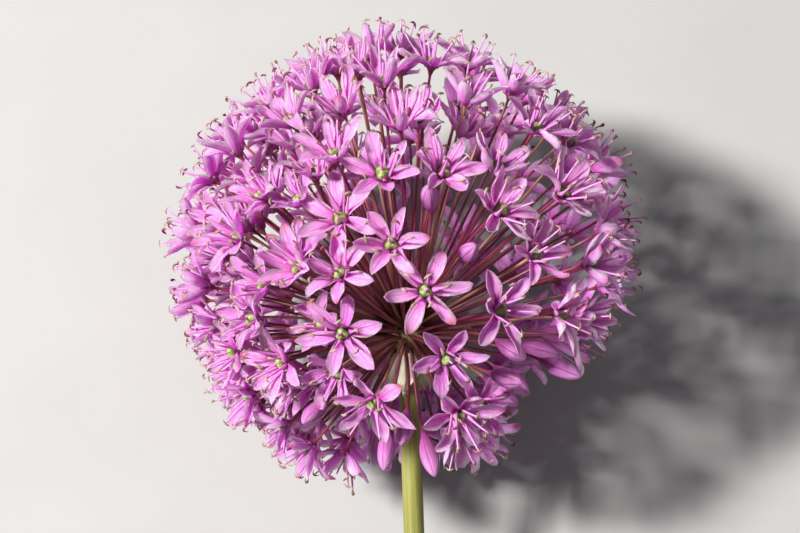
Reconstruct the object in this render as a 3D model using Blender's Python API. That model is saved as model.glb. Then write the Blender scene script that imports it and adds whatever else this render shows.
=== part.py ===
# Flower head of an ornamental onion, cut with part of its stem and laid on its side.
#
# The head is an umbel: every floret has its own straight pedicel, and all the
# pedicels grow from one small receptacle at the top of the stem. The florets are
# drawn one after another from seeded numbers, and each keeps the first draw that
# clears those before it, so that no tepal cuts through another.
#
# Metres, +Z up. The head is worked out in a flower frame, whose origin is the
# middle of the globe, with +Y to the crown and +Z to the side that is seen. It is
# then tilted about X until the cut end of the stem meets the surface.
import math
import random

import bmesh
import bpy
from mathutils import Matrix, Vector
from mathutils.bvhtree import BVHTree

MM = 0.001

# The globe, and the stem from its cut end to the knob inside the receptacle
HEAD_RADIUS = 50 * MM
STAR_RADIUS = 43.5 * MM
RECEPTACLE_DROP = 15 * MM
SETTLE = 3 * MM
STEM_LENGTH = 150 * MM
STEM_TOP_RADIUS = 2.15 * MM
STEM_END_RADIUS = 2.3 * MM
STEM_SIDES = 12
NECK_LENGTH = 2.6 * MM
KNOB_RADIUS = 2.75 * MM
KNOB_ROWS = ((1.0, -0.7 * MM), (0.93, 1.0 * MM), (0.6, 2.2 * MM))

# The receptacle's segments round the knob, one for each spray
PAD_INNER = 3.5 * MM
PAD_OUTER = 5.2 * MM
PAD_GAP = 0.32 * MM
ROOT_DEPTH = 4.1 * MM
ROOT_WIDTH = 0.6 * MM
ROOT_LOWEST = math.radians(127)
PARTED = 0.16

# An open floret at full size
PEDICEL_RADIUS = 0.48 * MM
PEDICEL_SIDES = 3
THROAT_DROP = 1.5 * MM
VALLEY_RADIUS = 1.35 * MM
OVARY_RADIUS = 0.95 * MM
OVARY_RISE = 0.45 * MM
OVARY_HEIGHT = 2.1 * MM
FILAMENT_LENGTH = 7.2 * MM
TEPALS = 6
TEPAL_LENGTH = 8.4 * MM
TEPAL_HALF_WIDTH = 1.85 * MM
TEPAL_THICKNESS = 0.72 * MM
TEPAL_DISH = 0.1 * MM
FOLD = (0.1 * MM, 0.55 * MM)

# Shares of a tepal's length: its widest place, its top ridge, its keel and its claw
WIDEST = 0.54
RIDGE = 0.46
KEEL = 0.34
CLAW = 0.3

# How far the tepals rise from flat, in degrees: least, most and commonest
RISE = (12, 46, 27)
INNER_RISE = 4
LATE_RISE = 30

# Where a floret faces: this share away from the receptacle, the rest away from the middle
FACES_OUT = 0.7

# Ranges of the seeded draws, as shares of the sizes above
SIZE_RANGE = (0.95, 1.08)
LENGTH_RANGE = (0.93, 1.07)
WIDTH_RANGE = (0.88, 1.1)
FOLD_RANGE = (0.7, 1.3)
REACH_RANGE = (0.85, 1.1)
DEPTH_RANGE = (-0.8 * MM, 1.2 * MM)

# Spreads of the seeded draws, in degrees
ANGLE_SPREAD = 2.5
RISE_SPREAD = 7
CURL_SPREAD = 18
TWIST_SPREAD = 11
STRAY_SPREAD = 9
LEAN = (27, 7)
NOD_SPREAD = 5

# A tepal is no wider than this share of the way round to the next one
CROWDED = 0.44

# A bud, as the radius and height of each ring above its base
BUD_RINGS = ((0.9 * MM, 0.5 * MM), (2.0 * MM, 2.9 * MM), (1.5 * MM, 5.6 * MM))
BUD_LENGTH = 8.2 * MM
BUD_SPIN = 9
BUD_DEPTH = 4 * MM

# The sprays' names, by how far a spray's middle is from the crown, in degrees
TIERS = (("crown", 42), ("upper", 72), ("middle", 104), ("lower", 180))

# How many there are, and how far apart
SEED = 11
SPRAYS = 24
ROUNDS = 12
SHARINGS = 8
DRAWS = 200
LATE_DEPTH = 6 * MM
LATE_SHRINK = 0.13
LATTICE = 6000
SPACING = 9.5 * MM
SPARSER = 0.42
NEIGHBOUR = 27 * MM
LISTED_FROM = 0.8
LOWEST = math.radians(161)
BUDS_FROM = math.radians(128)
BUD_SHARE = 0.34
EARLY_BUD_SHARE = 0.03

# The side that opens last, low at the right: how far it reaches, how much shorter its
# pedicels are and how many of its flowers are buds
LATE_SIDE = Vector((0.64, -0.77, 0))
LATE_REACH = math.radians(45)
LATE_DROP = 9 * MM
LATE_BUD_SHARE = 0.75

# The papery spathe under the umbel, as turn about the stem, lean and size of each half
SPATHE_HALVES = ((-35, 20, 1.0), (137, 24, 0.95))
SPATHE_LENGTH = 8.2 * MM
SPATHE_HALF_WIDTH = 4.7 * MM
SPATHE_THICKNESS = 0.62 * MM
SPATHE_DROP = 4.3 * MM
SPATHE_OFFSET = 2.65 * MM
SPATHE_ROWS = 5
SPATHE_COLUMNS = 5
SPATHE_CURL = 3.6 * MM
SPATHE_SPREAD = 1.8 * MM
SPATHE_ARCH = (0.2, 0.84)

# The flowers of the side that is seen, as they show from VIEW_DISTANCE away in a view that
# leans by VIEW_TURN. For each, how far across and up from the middle of the globe it shows
# and how much deeper than the globe it is, and for a floret how far its tepals rise. All
# of it is in millimetres and degrees.
VIEW_DISTANCE = 472
VIEW_TURN = math.radians(-1.9)
FRONT_FLORETS = (
    (4.2, -6.4, 0, 12), (-2.8, 3.4, 2, 28), (-13.4, -2.8, 3, 24), (-13.4, -15.5, 0, 20),
    (-22.7, -1.7, 1, 32), (-14.0, 9.3, 5, 20), (-4.9, 18.5, 1, 28), (-14.7, 21.7, 0, 25),
    (7.6, 18.1, 5, 36), (19.8, 10.6, 1, 24), (19.8, 20.0, 4, 40), (27.4, 1.1, 0, 20),
    (20.2, -10.6, 2, 20), (8.9, -20.8, 1, 24), (-6.4, -29.3, 0, 15), (11.3, -32.7, 0, 12),
    (-25.5, -21.0, 2, 34), (-31.6, -11.8, 1, 44), (-35.9, 4.7, 0, 42), (-31.2, 14.0, 0, 42),
    (-23.8, 29.1, 0, 44), (-1.1, 28.9, 1, 42), (-4.6, 37.8, 0, 46), (13.2, 34.4, 0, 42),
    (33.3, 14.4, 0, 36), (32.5, -11.3, 0, 25), (-13.6, 32.6, 1, 46), (-41.6, -5.3, 0, 40),
    (-32.1, -27.8, 0, 40), (38.7, -0.6, 0, 38), (-19.5, -38.4, 0, 34), (22.7, 36.1, 0, 42),
)
FRONT_BUDS = (
    (5.3, 11.7, 3), (12.3, 1.1, 3), (29.7, -21.2, 0), (-3.8, -37.8, 0), (4.2, -37.8, 1),
    (-17.0, -29.7, 0), (20.2, -17.2, 6), (18.5, -23.4, 2),
)

# How the head lies: its middle at REST_HEIGHT, and the stem's lowest side on the surface
STEM_SIDE = STEM_END_RADIUS * math.cos(math.pi / STEM_SIDES)
REACH = RECEPTACLE_DROP + STEM_LENGTH
REST_HEIGHT = HEAD_RADIUS - SETTLE
TILT = math.asin(REST_HEIGHT / math.hypot(REACH, STEM_SIDE)) - math.atan(STEM_SIDE / REACH)
LAY = Matrix.Translation((0, 0, REST_HEIGHT)) @ Matrix.Rotation(TILT, 4, "X")
CENTRE = LAY @ Vector((0, 0, 0))
RECEPTACLE = LAY @ Vector((0, -RECEPTACLE_DROP, 0))
CROWN = LAY.to_3x3() @ Vector((0, 1, 0))


def clear_scene():
    """Takes every object out of the scene."""
    for thing in list(bpy.data.objects):
        bpy.data.objects.remove(thing, do_unlink=True)


def finish(name, colour, roughness):
    """A plain material: colour as linear red, green and blue."""
    material = bpy.data.materials.new(name)
    material.use_nodes = True
    shader = material.node_tree.nodes["Principled BSDF"]
    shader.inputs["Base Color"].default_value = (*colour, 1)
    shader.inputs["Roughness"].default_value = roughness
    shader.inputs["Metallic"].default_value = 0.0
    return material


def add_object(name, points, faces, material, carrier):
    """A named object at the receptacle, from points in the frame of the laid head."""
    mesh = bpy.data.meshes.new(name)
    mesh.from_pydata([point - RECEPTACLE for point in points], [], faces)
    mesh.materials.append(material)
    thing = bpy.data.objects.new(name, mesh)
    thing.location = RECEPTACLE
    thing.parent = carrier
    bpy.context.collection.objects.link(thing)
    return thing


def degrees_drawn(rng, spread, middle=0):
    """A seeded angle round a middle one, both given in degrees, as radians."""
    return math.radians(rng.gauss(middle, spread))


def way_round(angle):
    """The unit vector at an angle round +Z."""
    return Vector((math.cos(angle), math.sin(angle), 0))


def ring(radius, height, count, turn=0.0):
    """Points round +Z, from the angle turn on."""
    up = Vector((0, 0, height))
    return [way_round(turn + math.tau * step / count) * radius + up for step in range(count)]


def middle_of(points):
    """The mean of some points."""
    return sum(points, Vector()) / len(points)


def bridge(lower, upper):
    """Triangles between two rings of point numbers that start together and run the same way."""
    faces = []
    low = high = 0
    while low < len(lower) or high < len(upper):
        here, above = lower[low % len(lower)], upper[high % len(upper)]
        behind = (low + 1) * len(upper) <= (high + 1) * len(lower)
        if high == len(upper) or (low < len(lower) and behind):
            faces.append((here, lower[(low + 1) % len(lower)], above))
            low += 1
        else:
            faces.append((here, upper[(high + 1) % len(upper)], above))
            high += 1
    return faces


def fan(edge, tip):
    """Triangles from each step of a ring to one point."""
    return [(edge[i], edge[(i + 1) % len(edge)], tip) for i in range(len(edge))]


def tepal_points(tepal, size):
    """The five points of one tepal: its two widest ones, its tip, its top ridge and its keel."""
    out = way_round(tepal["angle"])
    length = TEPAL_LENGTH * tepal["length"] * size
    foot = out * VALLEY_RADIUS * math.cos(math.pi / TEPALS)

    def spine(share):
        rise = tepal["rise"] + tepal["curl"] * (share - 0.5)
        return foot + length * share * (out * math.cos(rise) + Vector((0, 0, math.sin(rise))))

    along = (spine(1) - spine(CLAW)).normalized()
    side = Matrix.Rotation(tepal["twist"], 3, along) @ Vector((-out.y, out.x, 0))
    face = along.cross(side).normalized()
    room = VALLEY_RADIUS + WIDEST * length * math.cos(tepal["rise"])
    half = min(TEPAL_HALF_WIDTH * tepal["width"] * size, room * CROWDED)
    broad = spine(WIDEST) + face * tepal["fold"] * size
    return (
        broad - side * half,
        broad + side * half,
        spine(1),
        spine(RIDGE) - face * TEPAL_DISH,
        spine(KEEL) - face * (TEPAL_DISH + TEPAL_THICKNESS),
    )


def filament_tip(tepal, size):
    """Where the filament in front of a tepal ends."""
    reach = FILAMENT_LENGTH * tepal["reach"] * size
    out = way_round(tepal["angle"] + tepal["stray"]) * (OVARY_RADIUS + reach * math.sin(tepal["lean"]))
    return out + Vector((0, 0, reach * math.cos(tepal["lean"])))


def star_mesh(draw):
    """Points and faces of an open floret round +Z. Points 3 to 5 are the top of its pedicel."""
    throat = range(PEDICEL_SIDES, 2 * PEDICEL_SIDES)
    valleys = range(throat[-1] + 1, throat[-1] + 1 + TEPALS)
    inner = range(valleys[-1] + 1, valleys[-1] + 1 + TEPALS)
    top = inner[-1] + 1
    points = ring(PEDICEL_RADIUS, -THROAT_DROP, PEDICEL_SIDES, -math.pi / TEPALS)
    points += ring(VALLEY_RADIUS, 0, TEPALS, -math.pi / TEPALS)
    points += ring(OVARY_RADIUS, OVARY_RISE, TEPALS)
    points.append(Vector((0, 0, OVARY_HEIGHT)))
    faces = fan(inner, top)
    under = []
    for i, tepal in enumerate(draw["tepals"]):
        left, right = valleys[i], valleys[(i + 1) % TEPALS]
        first = PEDICEL_SIDES + len(points)
        wide_left, wide_right, tip, ridge, keel, anther = range(first, first + 6)
        points += tepal_points(tepal, draw["size"])
        points.append(filament_tip(tepal, draw["size"]))
        rim = (left, wide_left, tip, wide_right, right)
        faces += [(rim[k], rim[k + 1], ridge) for k in range(4)]
        faces += [(rim[k + 1], rim[k], keel) for k in range(4)]
        faces.append((right, left, ridge))
        faces += [(left, right, anther), (right, inner[i], anther), (inner[i], left, anther)]
        faces.append((inner[i], right, inner[(i + 1) % TEPALS]))
        under += [left, keel]
    faces += bridge(throat, under)
    return points, faces


def bud_mesh(draw):
    """Points and faces of a closed bud round +Z. Points 3 to 5 are the top of its pedicel."""
    size = draw["size"]
    points = ring(PEDICEL_RADIUS, -THROAT_DROP, PEDICEL_SIDES, -math.pi / TEPALS)
    last = range(PEDICEL_SIDES, 2 * PEDICEL_SIDES)
    faces = []
    for number, (radius, height) in enumerate(BUD_RINGS):
        first = PEDICEL_SIDES + len(points)
        points += ring(radius * size, height * size, TEPALS, draw["spin"] * number - math.pi / TEPALS)
        faces += bridge(last, range(first, first + TEPALS))
        last = range(first, first + TEPALS)
    points.append(Vector((0, 0, BUD_LENGTH * size)))
    faces += fan(last, last[-1] + 1)
    return points, faces


def draw_tepal(rng, number, rise, fold):
    """One seeded draw of a tepal and of the filament in front of it."""
    inner_rise = INNER_RISE if number % 2 else 0
    return {
        "angle": math.tau * number / TEPALS + degrees_drawn(rng, ANGLE_SPREAD),
        "rise": rise + degrees_drawn(rng, RISE_SPREAD, inner_rise),
        "curl": degrees_drawn(rng, CURL_SPREAD),
        "twist": degrees_drawn(rng, TWIST_SPREAD),
        "length": rng.uniform(*LENGTH_RANGE),
        "width": rng.uniform(*WIDTH_RANGE),
        "fold": fold * rng.uniform(*FOLD_RANGE),
        "stray": degrees_drawn(rng, STRAY_SPREAD),
        "lean": abs(degrees_drawn(rng, LEAN[1], LEAN[0])),
        "reach": rng.uniform(*REACH_RANGE),
    }


def draw_floret(rng, place, attempt):
    """One seeded draw of a floret's form; later attempts are more closed, deeper and smaller."""
    late = attempt / DRAWS
    usual = place["rise"] or rng.triangular(*RISE)
    rise = math.radians(usual + LATE_RISE * late)
    fold = rng.uniform(*FOLD)
    return {
        "tepals": [draw_tepal(rng, i, rise, fold) for i in range(TEPALS)],
        "spin": math.radians(rng.uniform(-BUD_SPIN, BUD_SPIN)),
        "roll": rng.uniform(0, math.tau / TEPALS),
        "size": rng.uniform(*SIZE_RANGE) - LATE_SHRINK * late,
        "depth": place["depth"] + rng.uniform(*DEPTH_RANGE) + rng.uniform(0, LATE_DEPTH) * late,
        "nod": (degrees_drawn(rng, NOD_SPREAD), degrees_drawn(rng, NOD_SPREAD)),
    }


def flower_mesh(place, draw):
    """Points and faces of one floret or bud with its pedicel, lifted clear of the surface."""
    middle = LAY @ (place["way"] * (STAR_RADIUS - draw["depth"]))
    axis = (middle - CENTRE).normalized().lerp((middle - RECEPTACLE).normalized(), FACES_OUT)
    points, faces = bud_mesh(draw) if place["bud"] else star_mesh(draw)
    turn = axis.to_track_quat("Z", "Y").to_matrix()
    turn = turn @ Matrix.Rotation(draw["nod"][0], 3, "X") @ Matrix.Rotation(draw["nod"][1], 3, "Y")
    turn = turn @ Matrix.Rotation(draw["roll"], 3, "Z")
    points = [middle + turn @ point for point in points]
    lift = Vector((0, 0, max(0, -min(point.z for point in points))))
    points = [point + lift for point in points]
    foot = ring(PEDICEL_RADIUS, 0, PEDICEL_SIDES, -math.pi / TEPALS)
    foot = [place["root"] + turn @ point for point in foot]
    low, high = range(PEDICEL_SIDES), range(PEDICEL_SIDES, 2 * PEDICEL_SIDES)
    return foot + points, [tuple(reversed(low)), *bridge(low, high), *faces]


def listed_places():
    """The florets and buds of the side that is seen."""
    places = []
    for x, y, deeper, rise in FRONT_FLORETS:
        depth = deeper * MM
        places.append({"way": globe_way(x, y, depth), "bud": False, "depth": depth, "rise": rise})
    for x, y, deeper in FRONT_BUDS:
        depth = deeper * MM + BUD_DEPTH
        places.append({"way": globe_way(x, y, depth), "bud": True, "depth": depth, "rise": None})
    return places


def globe_way(x, y, depth):
    """The way from the middle of the globe to what shows x across and y up, in millimetres."""
    radius = (STAR_RADIUS - depth) / MM
    seen = Matrix.Rotation(VIEW_TURN, 2) @ Vector((x, y))
    nearer = 0
    for _ in range(ROUNDS):
        flat = seen * (1 - nearer / VIEW_DISTANCE)
        nearer = math.sqrt(max(radius**2 - flat.length_squared, 0))
    return Vector((*flat, nearer)).normalized()


def lateness(way):
    """How much later than the rest a flower opens, from 0 to 1 in the middle of the late side."""
    return max(0, 1 - (way.angle(LATE_SIDE) / LATE_REACH) ** 2)


def scattered_places(places):
    """The other florets: darts thrown in a seeded order, each kept where it has room."""
    rng = random.Random(SEED)
    ways = []
    for i in range(LATTICE):
        y = 1 - (2 * i + 1) / LATTICE
        flat = way_round(i * math.pi * (3 - math.sqrt(5))) * math.sqrt(1 - y * y)
        ways.append(Vector((flat.x, y, flat.y)))
    rng.shuffle(ways)
    for way in ways:
        polar = math.acos(way.y)
        room = SPACING * (1 + SPARSER * max(0, polar - BUDS_FROM))
        if polar > LOWEST or way.z > LISTED_FROM:
            continue
        if min((way - other["way"]).length for other in places) * STAR_RADIUS < room:
            continue
        late = lateness(way)
        bud = rng.random() < (BUD_SHARE if polar > BUDS_FROM else EARLY_BUD_SHARE) + LATE_BUD_SHARE * late
        depth = (BUD_DEPTH if bud else 0) + LATE_DROP * late
        places.append({"way": way, "bud": bud, "depth": depth, "rise": None})
    return places


def lowered(way):
    """A root's way from the receptacle, kept clear of the stem below."""
    if way.angle(CROWN) <= ROOT_LOWEST:
        return way
    aside = (way - CROWN * way.dot(CROWN)).normalized()
    return CROWN * math.cos(ROOT_LOWEST) + aside * math.sin(ROOT_LOWEST)


def settle_sprays(places, middles):
    """Lets each spray take the roots nearest to its middle and move to theirs, a few times over."""
    for _ in range(ROUNDS):
        for place in places:
            place["spray"] = nearest(place["root_way"], middles)
        shares = [[place["root_way"] for place in places if place["spray"] == k] for k in range(SPRAYS)]
        middles = [middle_of(own).normalized() if own else old for own, old in zip(shares, middles)]
    for place in places:
        place["spray"] = nearest(place["root_way"], middles)
    return middles


def nearest(way, middles):
    """The number of the spray whose middle is nearest."""
    return max(range(SPRAYS), key=lambda k: way.dot(middles[k]))


def gather(places):
    """Shares the places out among the sprays, about as many to each, and gives them roots."""
    for place in places:
        middle = LAY @ (place["way"] * (STAR_RADIUS - place["depth"]))
        place["root_way"] = lowered((middle - RECEPTACLE).normalized())
    downwards = sorted(places, key=lambda place: place["root_way"].angle(CROWN))
    middles = [downwards[int((k + 0.5) * len(places) / SPRAYS)]["root_way"] for k in range(SPRAYS)]
    middles = settle_sprays(places, middles)
    for _ in range(SHARINGS):
        sizes = [sum(place["spray"] == k for place in places) for k in range(SPRAYS)]
        largest, smallest = sizes.index(max(sizes)), sizes.index(min(sizes))
        crowd = [place for place in places if place["spray"] == largest]
        middles[smallest], middles[largest] = crowd[0]["root_way"], crowd[-1]["root_way"]
        middles = settle_sprays(places, middles)
    for place in places:
        place["root"] = root_point(place, middles)
    return middles


def root_point(place, middles):
    """Where a pedicel starts, far enough inside its own spray's segment of the receptacle."""
    point = place["root_way"] * PAD_INNER
    own = middles[place["spray"]]
    for _ in range(ROUNDS):
        for k, other in enumerate(middles):
            if k != place["spray"]:
                wall = (own - other).normalized()
                point += wall * max(0, ROOT_WIDTH + PAD_GAP / 2 - point.dot(wall))
        point = lowered(point.normalized()) * PAD_INNER
    return RECEPTACLE + point.normalized() * ROOT_DEPTH


def pad_mesh(florets):
    """The segment of the receptacle under one spray, with a flat round each pedicel."""
    shape = bmesh.new()
    for floret in florets:
        root, points = floret["root"], floret["points"]
        way = (root - RECEPTACLE).normalized()
        lean = (middle_of(points[PEDICEL_SIDES : 2 * PEDICEL_SIDES]) - root).normalized()
        outer = root + lean * (PAD_OUTER - ROOT_DEPTH) / lean.dot(way)
        inner = RECEPTACLE + way * PAD_INNER
        for point in points[:PEDICEL_SIDES]:
            aside = point - root
            aside = (aside - way * aside.dot(way)).normalized() * ROOT_WIDTH
            shape.verts.new(inner + aside)
            shape.verts.new(outer + aside)
    hull = bmesh.ops.convex_hull(shape, input=shape.verts)
    inside = hull["geom_interior"] + hull["geom_unused"]
    spare = [item for item in set(inside) if isinstance(item, bmesh.types.BMVert)]
    bmesh.ops.delete(shape, geom=spare, context="VERTS")
    bmesh.ops.recalc_face_normals(shape, faces=shape.faces)
    shape.verts.index_update()
    points = [vert.co.copy() for vert in shape.verts]
    faces = [tuple(vert.index for vert in face.verts) for face in shape.faces]
    shape.free()
    return points, faces


def outer_part(points):
    """A floret's points with its foot moved up to where the pedicels have parted."""
    foot, throat = points[:PEDICEL_SIDES], points[PEDICEL_SIDES : 2 * PEDICEL_SIDES]
    return [a.lerp(b, PARTED) for a, b in zip(foot, throat)] + points[PEDICEL_SIDES:]


def crosses_itself(tree, faces):
    """Whether two triangles of one floret that share no corner meet."""
    return any(set(faces[a]).isdisjoint(faces[b]) for a, b in tree.overlap(tree))


def grow(places, fixed):
    """Draws every floret in turn and keeps the first draw that clears those before it."""
    grown = []
    for number, place in enumerate(places):
        rng = random.Random(SEED * LATTICE + number)
        for attempt in range(DRAWS):
            points, faces = flower_mesh(place, draw_floret(rng, place, attempt))
            tree = BVHTree.FromPolygons(outer_part(points), faces)
            spot = points[PEDICEL_SIDES]
            near = [other["tree"] for other in grown if (other["spot"] - spot).length < NEIGHBOUR]
            if crosses_itself(tree, faces) or any(tree.overlap(other) for other in near + fixed):
                continue
            grown.append({**place, "points": points, "faces": faces, "tree": tree, "spot": spot})
            break
    return grown


def join(name, parts, material, carrier):
    """One solid of several closed meshes that grow into each other."""
    base = add_object(name, *parts[0], material, carrier)
    together = bpy.data.collections.new(name + "_parts")
    bpy.context.scene.collection.children.link(together)
    for points, faces in parts[1:]:
        thing = add_object(name + "_part", points, faces, material, carrier)
        bpy.context.collection.objects.unlink(thing)
        together.objects.link(thing)
    union = base.modifiers.new("grown_together", "BOOLEAN")
    union.operation = "UNION"
    union.operand_type = "COLLECTION"
    union.collection = together
    union.solver = "EXACT"
    bpy.context.view_layer.update()
    solid = bpy.data.meshes.new_from_object(base.evaluated_get(bpy.context.evaluated_depsgraph_get()))
    base.modifiers.clear()
    base.data = solid
    for thing in list(together.objects):
        bpy.data.objects.remove(thing, do_unlink=True)
    bpy.data.collections.remove(together)
    return base


def make_scape(carrier):
    """The stem, round and a little stouter at its cut end, with the knob at its top."""
    rows = [(STEM_END_RADIUS, -STEM_LENGTH), (STEM_TOP_RADIUS, -NECK_LENGTH)]
    rows += [(KNOB_RADIUS * share, height) for share, height in KNOB_ROWS]
    points, faces = [], []
    for radius, height in rows:
        points += ring(radius, height, STEM_SIDES, math.pi / STEM_SIDES)
    edges = [range(k * STEM_SIDES, (k + 1) * STEM_SIDES) for k in range(len(rows))]
    for lower, upper in zip(edges, edges[1:]):
        faces += bridge(lower, upper)
    faces += fan(edges[0][::-1], len(points))
    faces += fan(edges[-1], len(points) + 1)
    points += [Vector((0, 0, -STEM_LENGTH)), Vector((0, 0, KNOB_RADIUS))]
    upright = LAY @ Matrix.Translation((0, -RECEPTACLE_DROP, 0)) @ Matrix.Rotation(-math.pi / 2, 4, "X")
    points = [upright @ point for point in points]
    return add_object("scape", points, faces, finish("stem green", (0.33, 0.31, 0.085), 0.5), carrier)


def spathe_mesh(turn, lean, size):
    """Half of the spathe: a blunt papery blade that hangs beside the stem and curls round it.

    Its width follows a stretch of a sine's arch, from its root to its lower edge."""
    points = []
    arch_start, arch_end = SPATHE_ARCH
    for thickness in (0, SPATHE_THICKNESS):
        for row in range(SPATHE_ROWS):
            share = row / (SPATHE_ROWS - 1)
            away = lean * (1 + share) / 2
            length = SPATHE_LENGTH * size * share
            arch = math.sin(math.pi * (arch_start + (arch_end - arch_start) * share))
            half = SPATHE_HALF_WIDTH * size * arch
            curl = SPATHE_CURL + SPATHE_SPREAD * share
            for column in range(SPATHE_COLUMNS):
                bend = half / curl * (2 * column / (SPATHE_COLUMNS - 1) - 1)
                out = SPATHE_OFFSET - curl + length * math.sin(away) + (curl + thickness) * math.cos(bend)
                down = RECEPTACLE_DROP + SPATHE_DROP + length * math.cos(away)
                points.append(Vector(((curl + thickness) * math.sin(bend), -down, out)))
    layer = SPATHE_ROWS * SPATHE_COLUMNS
    faces = []
    for row in range(SPATHE_ROWS - 1):
        for a in range(row * SPATHE_COLUMNS, (row + 1) * SPATHE_COLUMNS - 1):
            b, c, d = a + 1, a + SPATHE_COLUMNS + 1, a + SPATHE_COLUMNS
            split = ((a, b, c), (a, c, d))
            faces += split
            faces += [tuple(layer + index for index in reversed(face)) for face in split]
    around = list(range(SPATHE_COLUMNS))
    around += [(row + 1) * SPATHE_COLUMNS - 1 for row in range(1, SPATHE_ROWS)]
    around += [layer - 1 - k for k in range(1, SPATHE_COLUMNS)]
    around += [row * SPATHE_COLUMNS for row in range(SPATHE_ROWS - 2, 0, -1)]
    for a, b in zip(around, around[1:] + around[:1]):
        faces += [(b, a, layer + a), (b, layer + a, layer + b)]
    swing = LAY @ Matrix.Rotation(turn, 4, "Y")
    return [swing @ point for point in points], faces


def make_spathes(carrier):
    """The two halves that the spathe has split into."""
    paper = finish("spathe paper", (0.55, 0.5, 0.27), 0.7)
    halves = []
    for number, (turn, lean, size) in enumerate(SPATHE_HALVES, 1):
        points, faces = spathe_mesh(math.radians(turn), math.radians(lean), size)
        halves.append(add_object(f"spathe_{number}", points, faces, paper, carrier))
    return halves


def tree_of(thing):
    """A search tree of an object that has no modifiers, in the frame of the laid head."""
    points = [vert.co + RECEPTACLE for vert in thing.data.vertices]
    return BVHTree.FromPolygons(points, [tuple(face.vertices) for face in thing.data.polygons])


def spray_names(middles):
    """A name for each spray, by its tier and its place in the tier."""
    counts = dict.fromkeys((tier for tier, _ in TIERS), 0)
    names = {}
    for k in sorted(range(SPRAYS), key=lambda k: middles[k].angle(CROWN)):
        polar = math.degrees(middles[k].angle(CROWN))
        tier = next(name for name, most in TIERS if polar < most)
        counts[tier] += 1
        names[k] = f"{tier}_spray_{counts[tier]}"
    return names


def make_sprays(carrier, fixed):
    """Every spray of florets, each fused to its own segment of the receptacle."""
    petal = finish("tepal violet", (0.56, 0.19, 0.46), 0.55)
    places = scattered_places(listed_places())
    middles = gather(places)
    grown = grow(places, fixed)
    for k, name in spray_names(middles).items():
        own = [floret for floret in grown if floret["spray"] == k]
        parts = [pad_mesh(own), *((floret["points"], floret["faces"]) for floret in own)]
        join(name, parts, petal, carrier)
    buds = sum(floret["bud"] for floret in grown)
    print(f"{len(grown) - buds} open florets and {buds} buds, of {len(places)} places")


def centre_on_box(carrier):
    """Moves the whole part so that the middle of its box's underside is the origin."""
    bpy.context.view_layer.update()
    solids = [thing for thing in bpy.data.objects if thing.type == "MESH"]
    corners = [solid.matrix_world @ vert.co for solid in solids for vert in solid.data.vertices]
    low = Vector(min(point[axis] for point in corners) for axis in range(3))
    high = Vector(max(point[axis] for point in corners) for axis in range(3))
    carrier.location = (-(low.x + high.x) / 2, -(low.y + high.y) / 2, -low.z)
    print("size in millimetres", [round(side / MM, 2) for side in high - low])


def main():
    clear_scene()
    carrier = bpy.data.objects.new("flower_head", None)
    bpy.context.collection.objects.link(carrier)
    scape = make_scape(carrier)
    spathes = make_spathes(carrier)
    make_sprays(carrier, [tree_of(thing) for thing in (scape, *spathes)])
    centre_on_box(carrier)


main()
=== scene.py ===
# %% [markdown]
# # The flower head of an ornamental onion, laid on a table
#
# The head is an umbel: a globe of small six-tepalled florets, each on a straight
# pedicel of its own, all growing from one small receptacle at the top of a bare stem.
# The frame gives faceted solids of every floret. This notebook reads from them where
# each floret stands and how its tepals lie, and grows fine tepals, stamens, ovaries,
# pedicels and buds in those places.
#
# Almost every piece here is a tube that has been bent, and a tepal is one that is also
# pressed to a thin blade. So one function builds all the Geometry Nodes trees, and each
# kind of piece gives it a formula.

# %% Load the frame
import math
from functools import partial
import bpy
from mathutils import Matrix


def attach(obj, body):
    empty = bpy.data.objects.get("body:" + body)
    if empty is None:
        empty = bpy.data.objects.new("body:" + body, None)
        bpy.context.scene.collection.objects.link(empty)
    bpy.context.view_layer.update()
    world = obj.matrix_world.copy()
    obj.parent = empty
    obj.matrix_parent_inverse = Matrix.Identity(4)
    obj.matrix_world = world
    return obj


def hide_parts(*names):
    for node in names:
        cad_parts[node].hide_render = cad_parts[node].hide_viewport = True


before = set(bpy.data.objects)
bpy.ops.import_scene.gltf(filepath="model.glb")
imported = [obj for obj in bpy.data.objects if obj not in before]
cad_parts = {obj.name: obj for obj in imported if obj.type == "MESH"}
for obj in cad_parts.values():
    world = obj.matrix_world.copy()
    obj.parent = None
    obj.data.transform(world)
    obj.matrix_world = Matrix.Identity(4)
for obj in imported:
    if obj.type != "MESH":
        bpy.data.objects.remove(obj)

from types import SimpleNamespace

import bmesh
import bpy
import numpy as np
from mathutils import Matrix, Vector

MM = 0.001
bpy.context.view_layer.update()

# %% [markdown]
# ## Where the stem and the receptacle are
#
# The frame's meshes are loose triangles, so a copy is welded first and then read. The
# stem's solid ends in a flat cut on one side and in a round knob on the other. The
# middle of the cut and the top of the knob give the line that everything grows along.

# %% Read the stem's line
WELD = 0.005 * MM
KNOB_RADIUS = 2.75 * MM
CUT_WIDTH = 6 * MM


def welded(node):
    """A bmesh of a frame node with its loose triangles joined."""
    shape = bmesh.new()
    shape.from_mesh(node.data)
    bmesh.ops.remove_doubles(shape, verts=shape.verts, dist=WELD)
    return shape


def middle(points):
    """The mean of some points."""
    points = list(points)
    return sum(points, Vector()) / len(points)


stem_points = [vert.co.copy() for vert in welded(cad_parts["scape"]).verts]
first = min(stem_points, key=lambda point: point.y)
cut_end = middle(point for point in stem_points if (point - first).length < CUT_WIDTH)
knob_top = max(stem_points, key=lambda point: (point - cut_end).length)
crown = (knob_top - cut_end).normalized()
receptacle = knob_top - crown * KNOB_RADIUS
right = Vector((1, 0, 0))
skyward = right.cross(crown)
print("receptacle", receptacle, "stem", round((receptacle - cut_end).length / MM, 1), "mm")

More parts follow.
